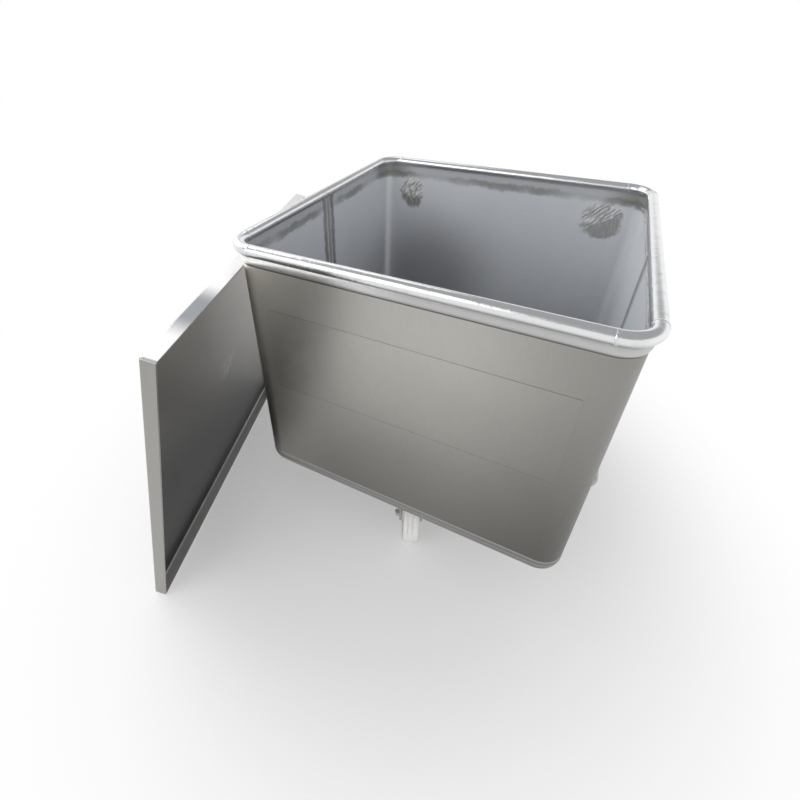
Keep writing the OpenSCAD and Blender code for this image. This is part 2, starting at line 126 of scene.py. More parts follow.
# Corners of a rectangle, counter-clockwise from the front right.
CORNERS = ((1, -1), (1, 1), (-1, 1), (-1, -1))

WHITE = (1.0, 1.0, 1.0)
HEATED = (0.42, 0.42, 0.42)
RIM_BURN = (0.16, 0.155, 0.13)
CORNER_SMEAR = (0.20, 0.19, 0.155)
# Painted highlight along the fold at the foot of the walls.
FOLD_PAINTED_HIGHLIGHT = (0.62, 0.62, 0.60)
GROUND_STRIP = (0.56, 0.55, 0.52)
PATCH_DARK, PATCH_BRIGHT = (0.20, 0.195, 0.185), (0.98, 0.98, 0.97)
# Darker spot in the painted highlight of the lid's top flange.
FLANGE_DARK_SPOT = (0.33, 0.345, 0.365)
# Painted highlight on the inner face of the lid's low flange.
LOW_FLANGE_PAINTED_HIGHLIGHT = (0.74, 0.745, 0.75)
SCRATCH_LIGHT = (0.72, 0.72, 0.70)
CASTER_DUST = (0.30, 0.28, 0.25)
NYLON_SHADE = (0.90, 0.895, 0.875)


def a_colour(name, description, default):
    return FloatVectorProperty(
        name=name, description=description, subtype="COLOR", size=3, min=0, max=1, default=default)


def a_place(name, description, default):
    return FloatVectorProperty(name=name, description=description, subtype="TRANSLATION", size=3, default=default)


def a_length(name, description, default, low=-10.0, high=10.0):
    return FloatProperty(name=name, description=description, unit="LENGTH", min=low, max=high, default=default)


def an_angle(name, description, degrees):
    return FloatProperty(name=name, description=description, subtype="ANGLE", default=math.radians(degrees))


def a_share(name, description, default, low=0.0):
    return FloatProperty(name=name, description=description, subtype="FACTOR", min=low, max=1, default=default)


def a_power(name, description, watts):
    return FloatProperty(name=name, description=description, unit="POWER", min=0, default=watts)


class SteelFinish(bpy.types.PropertyGroup):
    """Colours and roughness of the steel"""

    wall_outside: a_colour("Wall outside", "Satin sheet on the outside of the tub", (0.475, 0.462, 0.432))
    wall_inside: a_colour("Wall inside", "Satin sheet on the inside of the tub", (0.80, 0.82, 0.85))
    rim: a_colour("Rim tube", "Polished tube round the top", (0.85, 0.86, 0.87))
    collar: a_colour("Collar", "Rounded band under the rim tube", (0.60, 0.60, 0.595))
    bars: a_colour("Bars", "Push handle, lift bars and lid grip", (0.38, 0.38, 0.375))
    lid: a_colour("Lid", "Brushed sheet of the lid", (0.52, 0.51, 0.485))
    weld: a_colour("Weld", "Bare weld bead", (0.74, 0.74, 0.74))
    # Besides heat marks and the film's dusty edge, this colour is painted shade under the collar, in the collar's
    # groove and along its lower edge, and low on the rim tube.
    scorch_dust_and_painted_shade: a_colour("Scorch", "Dark heat mark beside a weld", (0.13, 0.125, 0.12))
    straw: a_colour("Straw tint", "Yellowish heat tint on a weld", (0.52, 0.43, 0.29))
    casters: a_colour("Casters", "Pressed plate of forks, brackets and pads", (0.47, 0.475, 0.48))
    fasteners: a_colour("Fasteners", "Bolts, nuts, pins and bushes", (0.58, 0.57, 0.55))
    wall_roughness: a_share("Wall roughness", "Mean roughness of the satin sheet", 0.40, 0.05)
    rim_roughness: a_share("Rim roughness", "Mean roughness of the polished tube", 0.21, 0.05)


class WheelFinish(bpy.types.PropertyGroup):
    """Colours of the nylon wheels"""

    nylon: a_colour("Nylon", "Clean nylon", (0.97, 0.965, 0.945))
    grime: a_colour("Grime", "Dirt rubbed into the tread", (0.46, 0.43, 0.38))


class BeadSizes(bpy.types.PropertyGroup):
    """Sizes of the weld beads"""

    pitch: a_length("Ripple pitch", "Distance between the ripples of a bead", 0.003, 0.001, 0.01)
    seam_width: a_length("Seam width", "Width of the bead down each side seam", 0.009, 0.002, 0.02)
    seam_height: a_length("Seam height", "Height of the bead down each side seam", 0.0016, 0.0004, 0.003)
    bar_size: a_length("Bar weld", "Thickness of the bead round the foot of a bar", 0.007, 0.002, 0.012)
    grip_size: a_length("Grip weld", "Thickness of the bead round the foot of the lid's grip", 0.005, 0.001, 0.008)
    pad_size: a_length("Pad weld", "Thickness of the bead round each caster pad", 0.006, 0.001, 0.01)
    rim_width: a_length("Rim joint width", "Width of the bead at each joint of the rim tube", 0.006, 0.001, 0.01)
    rim_height: a_length("Rim joint height", "How far the bead of a rim joint stands proud", 0.0004, 0.0002, 0.002)
    strip_width: a_length(
        "Ground weld width", "Width of the ground weld round the foot of the walls", 0.0036, 0.001, 0.01)
    strip_proud: a_length(
        "Ground weld height", "How far the ground weld stands proud of the wall", 0.0004, 0.0001, 0.002)
    seed: IntProperty(name="Seed", description="Start of the ripples' small differences", min=0, default=7)


class FilmSizes(bpy.types.PropertyGroup):
    """Place of the clear film on the front wall"""

    left: a_length("Left", "Left edge of the film", -0.255)
    right: a_length("Right", "Right edge of the film", 0.265)
    low: a_length("Low", "Height of the film's lower edge", 0.410)
    high: a_length("High", "Height of the film's upper edge", 0.585)
    thickness: a_length("Thickness", "Thickness of the film", 0.00015, 0.00005)
    corner: a_length("Corner", "Radius of the film's corners", 0.004, 0.0005)
    border: a_length("Border", "Width of the film's dusty edge", 0.0011, 0.0002)


class LidPlace(bpy.types.PropertyGroup):
    """How the lid stands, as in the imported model"""

    lean: an_angle("Lean", "Lean from upright", 14.2)
    turn: an_angle("Turn", "Turn seen from above", 17)
    foot: a_place("Foot", "Front lower corner of the lid's open face", (-0.38915, -0.61455, 0))
    span: a_length("Span", "Outside width and height of the lid", 0.6693)
    depth: a_length("Depth", "Depth of the lid's flange", 0.024)
    grip_radius: a_length("Grip radius", "Radius of the lid's grip rod", 0.006)
    grip_span: a_length("Grip span", "Distance between the grip's legs", 0.150)


class StageSettings(bpy.types.PropertyGroup):
    """Floor, lamps and camera"""

    floor: a_colour("Floor", "Pale studio floor", (0.86, 0.86, 0.86))
    paper: a_share("Paper white", "Share of plain white in the far floor that the camera sees", 1.0)
    near_paper: a_share("Near white", "Share of plain white in the shaded floor beside the object", 0.30)
    front_paper: a_share("Front white", "Share of plain white in the floor far in front", 0.65)
    sky: FloatProperty(
        name="Sky", description="Strength of the even light from all round", min=0, default=0.78)
    overhead: FloatProperty(
        name="Overhead", description="Brightness of the sky overhead, against 1 at the rear horizon",
        min=0, default=0.38)
    front_sky: FloatProperty(
        name="Front", description="Brightness of the horizon in front, against 1 at the rear", min=0, default=0.90)
    side_power: a_power("Side lamp", "Power of the wide lamp at the left", 20)
    front_power: a_power("Front lamp", "Power of the wide lamp in front", 15)
    rear_power: a_power("Rear lamp", "Power of the lamp high at the rear left", 5)
    camera_place: a_place("Camera", "Place of the camera", (0.2068, -0.8416, 1.0043))
    heading: an_angle("Heading", "Turn of the camera to the left", 27.14)
    tilt: an_angle("Tilt", "Tilt of the camera downwards", 33.78)
    roll: an_angle("Roll", "Roll of the camera", -0.41)
    lens: FloatProperty(
        name="Lens", description="Focal length on a sensor 36 mm wide", unit="CAMERA", default=20.275)
    shift_x: FloatProperty(name="Shift X", description="Sideways shift of the frame", default=0.0429)
    shift_y: FloatProperty(name="Shift Y", description="Upward shift of the frame", default=-0.0953)


class TrolleySettings(bpy.types.PropertyGroup):
    """All settings of the trolley bin"""

    steel: PointerProperty(type=SteelFinish)
    wheels: PointerProperty(type=WheelFinish)
    beads: PointerProperty(type=BeadSizes)
    film: PointerProperty(type=FilmSizes)
    lid: PointerProperty(type=LidPlace)
    stage: PointerProperty(type=StageSettings)


def settings():
    return bpy.context.scene.trolley


def is_socket(value):
    return isinstance(value, bpy.types.NodeSocket)


def colour(value):
    """A colour as a socket takes it"""
    if is_socket(value):
        return value
    return (*tuple(value)[:3], 1.0)


class Graph:
    """A node tree that is built by short calls; each call returns the socket that it makes"""

    def __init__(self, tree):
        self.nodes = tree.nodes
        self.links = tree.links

    def add(self, kind, inputs=None, **options):
        made = self.nodes.new(kind)
        for key, value in options.items():
            setattr(made, key, value)
        for key, value in (inputs or {}).items():
            self.feed(made.inputs[key], value)
        return made

    def out(self, kind, inputs=None, **options):
        """The first output of a new node"""
        return self.add(kind, inputs, **options).outputs[0]

    def feed(self, socket, value):
        if is_socket(value):
            self.links.new(value, socket)
        else:
            socket.default_value = value

    def math(self, operation, a, b=0.0, clamp=False):
        return self.out("ShaderNodeMath", {0: a, 1: b}, operation=operation, use_clamp=clamp)

    def chain(self, operation, first, *rest):
        """One operation over all values, from the first to the last"""
        for value in rest:
            first = self.math(operation, first, value)
        return first

    def all_of(self, *shares):
        return self.chain("MULTIPLY", *shares)

    def any_of(self, *shares):
        return self.chain("MAXIMUM", *shares)

    def least(self, *values):
        return self.chain("MINIMUM", *values)

    def total(self, *values):
        return self.chain("ADD", *values)

    def plus(self, base, value, times):
        """The base and so many times the value"""
        return self.math("ADD", base, self.math("MULTIPLY", value, times))

    def minus(self, a, b):
        return self.math("SUBTRACT", a, b)

    def size(self, value):
        """The value without its sign"""
        return self.math("ABSOLUTE", value)

    def apart(self, a, b):
        return self.size(self.minus(a, b))

    def over(self, value, limit):
        return self.math("GREATER_THAN", value, limit)

    def under(self, value, limit):
        return self.math("LESS_THAN", value, limit)

    def vector(self, operation, a, b=(0, 0, 0)):
        made = self.add("ShaderNodeVectorMath", {0: a, 1: b}, operation=operation)
        return made.outputs["Value" if operation in ("DOT_PRODUCT", "LENGTH", "DISTANCE") else "Vector"]

    def point(self, x, y, z=0.0):
        return self.out("ShaderNodeCombineXYZ", {0: x, 1: y, 2: z})

    def axes(self, vector):
        return self.add("ShaderNodeSeparateXYZ", {0: vector}).outputs

    def fade(self, value, start, end, low=0.0, high=1.0):
        """Smooth step from low at start to high at end"""
        inputs = {0: value, 1: start, 2: end, 3: low, 4: high}
        return self.out("ShaderNodeMapRange", inputs, interpolation_type="SMOOTHSTEP")


class Finish(Graph):
    """A procedural material"""

    def __init__(self, name):
        self.material = bpy.data.materials.new(name)
        self.material.use_nodes = True
        super().__init__(self.material.node_tree)
        self.nodes.clear()
        self.end = self.nodes.new("ShaderNodeOutputMaterial")
        self.place = self.add("ShaderNodeTexCoord").outputs["Object"]

    def local(self, origin, turn):
        """The place seen from a piece that stands at origin, turned by turn"""
        return self.out("ShaderNodeMapping", {0: self.place, 1: origin, 2: turn}, vector_type="TEXTURE")

    def noise(self, place, scale, detail=2.0, roughness=0.5, warp=0.0):
        inputs = {"Vector": place, "Scale": scale, "Detail": detail, "Roughness": roughness, "Distortion": warp}
        return self.out("ShaderNodeTexNoise", inputs)

    def streaks(self, place, scale, detail=2.0, roughness=0.5, warp=0.0):
        """Noise with a scale of its own along each axis"""
        stretched = self.out("ShaderNodeMapping", {0: place, 3: scale})
        return self.noise(stretched, 1.0, detail, roughness, warp)

    def ragged(self, place, scale, detail, roughness, height=1.0):
        """Noise about zero"""
        return self.all_of(self.minus(self.noise(place, scale, detail, roughness), 0.5), height)

    def between(self, value, low, high):
        """Straight step from low to high as value goes from 0 to 1"""
        return self.out("ShaderNodeMapRange", {0: value, 1: 0.0, 2: 1.0, 3: low, 4: high})

    def by_side(self, x, left, right):
        """One value left of the middle and another right of it"""
        return self.between(self.over(x, 0.0), left, right)

    def near(self, distance, reach, soft):
        """1 within reach, and 0 beyond reach and soft"""
        return self.fade(distance, reach + soft, reach)

    def mix(self, share, a, b):
        return self.add("ShaderNodeMix", {0: share, 6: colour(a), 7: colour(b)}, data_type="RGBA").outputs[2]

    def lay(self, tint, mark, *shares):
        """The tint with a mark laid over it, as far as the product of the shares says"""
        return self.mix(self.all_of(*shares), tint, mark)

    def shade(self, tint, share):
        """The tint made lighter or darker by a number"""
        return self.vector("MULTIPLY", tint if is_socket(tint) else tuple(tint)[:3], self.point(share, share, share))

    def outward(self):
        """1 on the tub's outer faces and 0 on its inner ones"""
        facing = self.add("ShaderNodeNewGeometry").outputs["Normal"]
        from_middle = self.vector("SUBTRACT", self.place, TUB_MIDDLE)
        return self.over(self.vector("DOT_PRODUCT", facing, from_middle), 0.0)

    def bump(self, height, distance, strength=1.0):
        return self.out("ShaderNodeBump", {"Height": height, "Distance": distance, "Strength": strength})

    def surface(self, tint, roughness, normal, metallic=1.0, **constants):
        """Ends the material; the constants are other inputs of the shader, with _ for a space"""
        inputs = {"Metallic": metallic, "Base Color": tint, "Roughness": roughness, "Normal": normal}
        inputs.update((key.replace("_", " "), value) for key, value in constants.items())
        made = self.add("ShaderNodeBsdfPrincipled", inputs)
        self.links.new(made.outputs[0], self.end.inputs[0])
        return self.material


def rolled_grain(finish, place, along):
    """Fine grain of rolled sheet, stretched along one direction: a number about 1"""
    grain = finish.streaks(place, along, 3.0, 0.6)
    speckle = finish.noise(place, 900.0, 1.0)
    cloud = finish.noise(place, 7.0)
    return finish.total(finish.all_of(grain, 0.10), finish.all_of(speckle, 0.10), finish.all_of(cloud, 0.12), 0.84)


def grind_strokes(finish, place, turn):
    """Bright and dark strokes of a hand grinder, leaning by turn"""
    leaning = finish.out("ShaderNodeMapping", {0: place, 2: (0, turn, 0)})
    return finish.fade(finish.streaks(leaning, (300, 300, 34), 2.0, 0.55, 0.4), 0.44, 0.62)


def wall_painted_light_and_grain(finish, place, x, y, z):
    """Painted light and shade of the outer walls, with the sheet's grain: darker at the foot and towards the
    corners, and on the front darker at the right and lighter at the left: a number about 1
    """
    foot_painted_shade, edge_painted_shade, right_painted_shading, left_painted_light = 0.47, 0.92, 0.66, 1.78
    # Painted shade: the outer walls darker towards their foot.
    height = finish.between(finish.fade(z, PAN_Z, COLLAR_Z), foot_painted_shade, 1.0)
    across = finish.least(finish.size(x), finish.size(y))
    # Painted shade: each outer wall darker towards its corners.
    edge = finish.between(finish.fade(across, 0.10, HALF_W - 0.005), 1.0, edge_painted_shade)
    front = finish.under(y, -HALF_D + 0.03)
    # On the front wall: painted shade towards the right and painted light towards the left.
    right = finish.between(finish.all_of(finish.fade(x, 0.06, HALF_W), front), 1.0, right_painted_shading)
    left = finish.between(finish.all_of(finish.fade(x, -0.12, -HALF_W), front), 1.0, left_painted_light)
    return finish.all_of(height, edge, right, left, rolled_grain(finish, place, (500, 500, 40)))


def inner_tint_and_painted_light(finish, look, place, x, y, z):
    """Bluish satin of the tub's inside with heat marks below the rim and a darker spot on the rear wall, and painted
    light: painted shade towards the floor, painted light on the right wall, and painted highlights in the rounded
    corners and along the weld line on the right wall
    """
    floor_painted_shade, dark_spot_tone, right_painted_shading = 0.62, 0.60, 1.16
    # Painted shade: the inside darker towards the tub's floor.
    depth = finish.between(finish.fade(z, PAN_Z, COLLAR_Z - 0.05), floor_painted_shade, 1.0)
    # Darker round a spot low on the left of the rear wall.
    blotch = finish.near(finish.vector("DISTANCE", place, REAR_DARK_SPOT), 0.04, 0.20)
    # Painted light: the inside of the right wall lighter.
    right = finish.fade(x, HALF_W - 0.03, HALF_W - 0.005)
    tone = finish.all_of(depth, finish.between(blotch, 1.0, dark_spot_tone), rolled_grain(finish, place, (60, 60, 420)),
                         finish.between(right, 1.0, right_painted_shading))
    tint = finish.shade(look.wall_inside, tone)
    off_x = finish.minus(HALF_W, finish.size(x))
    off_y = finish.minus(HALF_D, finish.size(y))
    # Painted highlight: white in the rounded inner corners, stronger higher up and on the left.
    corner_painted_highlight = finish.near(finish.any_of(off_x, off_y), 0.0148, 0.011)
    rise = finish.between(finish.fade(z, PAN_Z, COLLAR_Z), 0.5, 1.0)
    tint = finish.lay(tint, WHITE, corner_painted_highlight, rise, finish.by_side(x, 1.0, 0.35))
    ragged_z = finish.total(z, finish.ragged(place, 42.0, 4.0, 0.65, 0.022))
    tint = finish.lay(tint, HEATED, finish.fade(ragged_z, COLLAR_Z - 0.012, COLLAR_Z), 0.42)
    from_line = finish.apart(ragged_z, COLLAR_Z - 0.004)
    patchy = finish.fade(finish.streaks(place, (7, 7, 2)), 0.40, 0.60)
    tint = finish.lay(tint, RIM_BURN, finish.near(from_line, 0.0035, 0.009), finish.between(patchy, 0.12, 0.58))
    # Painted highlight: a white line along the weld line on the right wall only.
    bright = finish.near(from_line, 0.0012, 0.0020)
    tint = finish.lay(tint, WHITE, bright, finish.fade(off_x, 0.012, 0.008), finish.over(x, 0.0))
    flank = finish.fade(finish.size(x), HALF_W - 0.10, HALF_W - 0.02)
    rear = finish.fade(y, HALF_D - 0.09, HALF_D - 0.02)
    high = finish.fade(ragged_z, COLLAR_Z - 0.022, COLLAR_Z + 0.004)
    return finish.lay(tint, CORNER_SMEAR, flank, rear, high, 0.6)


def seam_marks(finish, place, x, y):
    """Ground strip beside the bead of each side seam and the dark lines along it: two shares"""
    from_seam = finish.total(finish.size(y), finish.ragged(place, 45.0, 3.0, 0.6, 0.012))
    side = finish.over(finish.size(x), HALF_W - 0.02)
    strip = finish.near(from_seam, SEAM_STRIP, 0.006)
    edge = finish.near(finish.apart(from_seam, SEAM_EDGE), 0.003, 0.006)
    patchy = finish.between(finish.noise(place, 24.0), 0.35, 1.0)
    return finish.all_of(strip, side, 0.6), finish.all_of(edge, patchy, side, finish.by_side(x, 1.0, 0.4))


def handle_patch(finish, place, x, y, z):
    """Hand-ground patch inside the rear wall behind each foot of the handle: its share and its brightness"""
    wide = finish.by_side(x, PATCH_LEFT, PATCH_RIGHT)
    aside = finish.math("DIVIDE", finish.minus(finish.size(x), HANDLE_X), wide)
    above = finish.math("DIVIDE", finish.minus(z, HANDLE_Z), PATCH_TALL)
    rough = finish.ragged(place, 48.0, 4.0, 0.6)
    reach = finish.plus(finish.vector("LENGTH", finish.point(aside, above)), rough, 0.8)
    share = finish.all_of(finish.near(reach, 0.78, 0.28), finish.over(y, HALF_D - 0.02))
    swirl = finish.apart(finish.noise(place, 80.0, 1.0, 0.5, 2.2), 0.5)
    curls = finish.all_of(finish.near(swirl, 0.012, 0.040), finish.under(x, 0.0))
    lines = finish.any_of(grind_strokes(finish, place, -0.7), curls)
    outer = finish.minus(above, finish.all_of(aside, finish.over(x, 0.0), 0.75))
    low = finish.fade(finish.plus(outer, rough, 1.2), 0.10, -0.30)
    bright = finish.all_of(lines, finish.between(low, 1.0, 0.10))
    bright = finish.plus(bright, grind_strokes(finish, place, 0.2), 0.26)
    return share, finish.math("MULTIPLY", bright, finish.between(low, 1.0, 0.55), True)


def foot_heat(finish, place, x, y, z):
    """Straw heat tint round the welded feet of the lift bars and of the handle, on the outside"""
    wide = finish.size(x)
    lift = finish.vector("DISTANCE", finish.point(wide, finish.size(y), z), (HALF_W, LIFT_Y, LIFT_Z))
    handle = finish.vector("DISTANCE", finish.point(wide, y, z), (HANDLE_X, HALF_D, HANDLE_Z))
    off = finish.least(finish.minus(lift, LIFT_R), finish.minus(handle, HANDLE_R))
    return finish.near(finish.plus(off, finish.noise(place, 90.0, 3.0, 0.6), 0.010), 0.010, 0.010)


def wall_finish(look):
    """Satin sheet of the tub's walls and floor, with the marks of its welds and painted light and shade"""
    finish = Finish("satin_wall_steel")
    place = finish.place
    x, y, z = finish.axes(place)
    outside = finish.outward()
    outer = finish.shade(look.wall_outside, wall_painted_light_and_grain(finish, place, x, y, z))
    outer = finish.lay(outer, look.straw, foot_heat(finish, place, x, y, z), 0.6)
    # Painted shadow: a dark line on the wall just under the collar.
    collar_painted_shadow_line = finish.near(finish.apart(z, COLLAR_Z - 0.0008), 0.0009, 0.0012)
    outer = finish.lay(outer, look.scorch_dust_and_painted_shade, collar_painted_shadow_line)
    from_fold = finish.minus(z, SEAM_Z + FOLD_RISE)
    outer = finish.lay(outer, look.casters, finish.fade(from_fold, 0.0006, -0.0006), 0.30)
    # Painted highlight: a light line along the fold at the foot of the walls.
    outer = finish.lay(outer, FOLD_PAINTED_HIGHLIGHT, finish.near(finish.size(from_fold), 0.0009, 0.0012), 0.55)
    inner = inner_tint_and_painted_light(finish, look, place, x, y, z)
    strip, edges = seam_marks(finish, place, x, y)
    inner = finish.lay(inner, GROUND_STRIP, strip)
    inner = finish.lay(inner, look.scorch_dust_and_painted_shade, edges)
    patch, strokes = handle_patch(finish, place, x, y, z)
    patch = finish.all_of(patch, finish.minus(1.0, outside))
    ground = finish.mix(strokes, PATCH_DARK, PATCH_BRIGHT)
    inner = finish.lay(inner, ground, patch, finish.by_side(x, 0.9, 0.72))
    tint = finish.mix(outside, inner, outer)
    roughness = finish.plus(look.wall_roughness - 0.05, finish.noise(place, 60.0, 3.0, 0.6), 0.10)
    roughness = finish.plus(roughness, patch, 0.12)
    relief = finish.plus(finish.noise(place, 5.0, 1.0), finish.streaks(place, (900, 900, 160)), 0.02)
    relief = finish.plus(relief, finish.all_of(patch, strokes), 0.12)
    return finish.surface(tint, roughness, finish.bump(relief, 0.002, 0.6), finish.between(outside, 0.45, 1.0))


def collar_finish(look):
    """Rounded bar under the rim tube, painted lighter towards the left, with painted shade in the groove below the
    tube and along its lower edge
    """
    finish = Finish("collar_steel")
    place = finish.place
    x, y, z = finish.axes(place)
    # Painted light, not wear: the collar lighter towards the left and a little darker at the right.
    rubbed = finish.between(finish.fade(x, 0.02, -HALF_W + 0.10), 0.86, 1.66)
    tint = finish.shade(look.collar, finish.all_of(rubbed, rolled_grain(finish, place, (90, 90, 700))))
    # Ragged noise for the edges of the painted shade below.
    dirt_and_painted_shade = finish.all_of(finish.noise(place, 70.0, 3.0), 0.004)
    # Painted shade in the groove under the tube.
    groove = finish.fade(finish.total(z, dirt_and_painted_shade), COLLAR_TOP - 0.0035, COLLAR_TOP + 0.001)
    tint = finish.lay(tint, look.scorch_dust_and_painted_shade, groove, 0.3)
    # Painted shade along the collar's lower edge.
    foot = finish.fade(finish.plus(z, dirt_and_painted_shade, -0.3), COLLAR_Z + 0.0025, COLLAR_Z)
    tint = finish.lay(tint, look.scorch_dust_and_painted_shade, foot, 0.55)
    roughness = finish.plus(look.wall_roughness - 0.16, finish.noise(place, 80.0, 3.0, 0.6), 0.12)
    return finish.surface(tint, roughness, finish.bump(finish.noise(place, 260.0, 3.0), 0.0003, 0.5))


def tube_finish(name, tint, look, dull=0.0, groove=-1.0):
    """Polished tube or rod with faint rubs and dull spots, and painted shade on it just above the height of its
    groove
    """
    finish = Finish(name)
    place = finish.place
    rub = finish.fade(finish.noise(place, 34.0, 4.0, 0.65), 0.52, 0.74)
    shaded = finish.shade(tint, rolled_grain(finish, place, (260, 260, 260)))
    shaded = finish.lay(shaded, look.collar, rub, 0.28)
    z = finish.axes(place)[2]
    # Painted shade: darker low on the tube, near and at the height of its groove.
    low = finish.any_of(finish.all_of(finish.fade(z, groove + 0.015, groove + 0.004), 0.42),
                        finish.all_of(finish.fade(z, groove + 0.003, groove), 0.45))
    shaded = finish.lay(shaded, look.scorch_dust_and_painted_shade, low, finish.between(finish.outward(), 0.3, 1.0))
    roughness = finish.plus(look.rim_roughness + dull, rub, 0.14)
    relief = finish.plus(finish.noise(place, 30.0), rub, 0.3)
    return finish.surface(shaded, roughness, finish.bump(relief, 0.0012, 0.5))


def weld_finish(look):
    """Weld bead: grey ripples with straw and dark heat tint and soot"""
    finish = Finish("weld_steel")
    place = finish.place
    heat = finish.noise(place, 75.0, 3.0, 0.6)
    tint = finish.lay(look.weld, look.straw, finish.fade(heat, 0.50, 0.62))
    tint = finish.lay(tint, look.scorch_dust_and_painted_shade, finish.fade(heat, 0.44, 0.34), 0.6)
    soot = finish.fade(finish.noise(place, 420.0), 0.50, 0.75)
    tint = finish.lay(tint, look.scorch_dust_and_painted_shade, soot, 0.35)
    return finish.surface(
        tint, finish.between(soot, 0.30, 0.55), finish.bump(finish.noise(place, 800.0), 0.0003, 0.6), 0.4)


def ground_weld_finish(look):
    """Weld that was ground flush and polished"""
    finish = Finish("ground_weld_steel")
    strokes = finish.streaks(finish.place, (700, 700, 90), 3.0, 0.6)
    tint = finish.mix(finish.fade(strokes, 0.35, 0.65), look.wall_outside, look.casters)
    tint = finish.shade(tint, 0.72)
    return finish.surface(tint, finish.between(strokes, 0.22, 0.42), finish.bump(strokes, 0.0002, 0.4))


def lid_finish(look, lid):
    """Brushed sheet of the lid, scratched on its inner face, with painted shade on its inner panel and near flange,
    and painted highlights on its top and low flanges, the top one with a darker spot
    """
    finish = Finish("brushed_lid_steel")
    local = finish.local(lid.foot, (0, lid.lean, lid.turn))
    depth, along, up = finish.axes(local)
    inside = finish.over(depth, SKIN - lid.depth)
    edge = finish.least(along, finish.minus(lid.span, along), up, finish.minus(lid.span, up))
    panel = finish.all_of(finish.under(depth, 0.004 - lid.depth), inside, finish.over(edge, 2 * SKIN))
    # Painted shade: the inner panel darker towards its foot and its near side.
    painted_shade_slope = finish.fade(finish.plus(up, along, 0.45), 0.30, 0.95)
    tone = finish.total(finish.all_of(finish.between(painted_shade_slope, 0.06, 1.08), panel), finish.minus(1.0, panel))
    tint = finish.shade(look.lid, finish.all_of(tone, rolled_grain(finish, local, (500, 500, 30))))
    # Painted shade: the near flange darker.
    tint = finish.shade(tint, finish.between(finish.under(along, SKIN), 1.0, 0.68))
    # Painted highlight: the top flange nearly white, with a darker spot at one place along it.
    flange_dark_spot = finish.near(finish.apart(along, FLANGE_DARK_SPOT_AT), 0.02, 0.06)
    top = finish.over(up, lid.span - SKIN)
    tint = finish.lay(tint, finish.mix(flange_dark_spot, WHITE, FLANGE_DARK_SPOT), top, 0.95)
    # Painted highlight: the low flange's inner face pale and less metallic.
    foot = finish.all_of(finish.under(up, 0.006), finish.over(up, 0.0012), inside)
    tint = finish.lay(tint, LOW_FLANGE_PAINTED_HIGHLIGHT, foot, 0.75)
    line = finish.fade(finish.streaks(local, (40, 900, 25), 1.0), 0.56, 0.66)
    from_scratch = finish.vector("DISTANCE", local, (-lid.depth, SCRATCH_ALONG, SCRATCH_UP))
    tint = finish.lay(tint, SCRATCH_LIGHT, line, finish.near(from_scratch, 0.015, 0.035), inside, 0.5)
    fine = finish.streaks(local, (1500, 1500, 60))
    roughness = finish.plus(look.wall_roughness - 0.08, fine, 0.10)
    relief = finish.plus(finish.noise(local, 4.0, 1.0), fine, 0.02)
    return finish.surface(tint, roughness, finish.bump(relief, 0.0015, 0.5), finish.between(foot, 1.0, 0.75))


def caster_finish(look):
    """Pressed and zinc-grey plate of forks, brackets and pads"""
    finish = Finish("pressed_caster_steel")
    place = finish.place
    tint = finish.shade(look.casters, finish.between(finish.noise(place, 48.0, 3.0, 0.6), 0.78, 1.18))
    dust = finish.fade(finish.noise(place, 18.0, 4.0, 0.65), 0.52, 0.72)
    tint = finish.lay(tint, CASTER_DUST, dust, 0.35)
    roughness = finish.plus(0.34, dust, 0.18)
    return finish.surface(tint, roughness, finish.bump(finish.noise(place, 500.0), 0.0003, 0.4))


def fastener_finish(look):
    """Turned steel of bolts, nuts, pins and bushes"""
    finish = Finish("turned_fastener_steel")
    place = finish.place
    rings = finish.streaks(place, (60, 60, 1600))
    tint = finish.shade(look.fasteners, finish.between(rings, 0.80, 1.15))
    blotch = finish.fade(finish.noise(place, 90.0, 3.0, 0.6), 0.55, 0.72)
    tint = finish.lay(tint, look.straw, blotch, 0.4)
    return finish.surface(tint, finish.between(rings, 0.22, 0.38), finish.bump(rings, 0.0002, 0.3))


def nylon_finish(name, look, centre, turn):
    """White nylon wheel: streaks round the tread and grime in the recess of its sides"""
    finish = Finish(name)
    local = finish.local(centre, (0, 0, turn))
    across, fore, up = finish.axes(local)
    radius = finish.vector("LENGTH", finish.point(0.0, fore, up))
    band = finish.streaks(local, (620, 16, 16), 3.0, 0.6)
    streak = finish.all_of(finish.fade(band, 0.52, 0.66), finish.fade(radius, TREAD_R, TREAD_R + 0.010))
    scuff = finish.fade(finish.noise(local, 120.0, 4.0, 0.7), 0.56, 0.70)
    recess = finish.all_of(finish.near(radius, RECESS_R, 0.020), finish.noise(local, 35.0, 3.0))
    dirt_and_painted_shade = finish.any_of(finish.all_of(streak, 0.55), finish.all_of(scuff, 0.30), recess)
    clean = finish.mix(finish.noise(local, 14.0), look.nylon, NYLON_SHADE)
    normal = finish.bump(finish.total(band, scuff), 0.0006, 0.4)
    return finish.surface(finish.mix(dirt_and_painted_shade, clean, look.grime), finish.between(scuff, 0.38, 0.60), normal, 0.0,
                          Subsurface_Weight=0.12, Subsurface_Radius=(0.004, 0.003, 0.002))


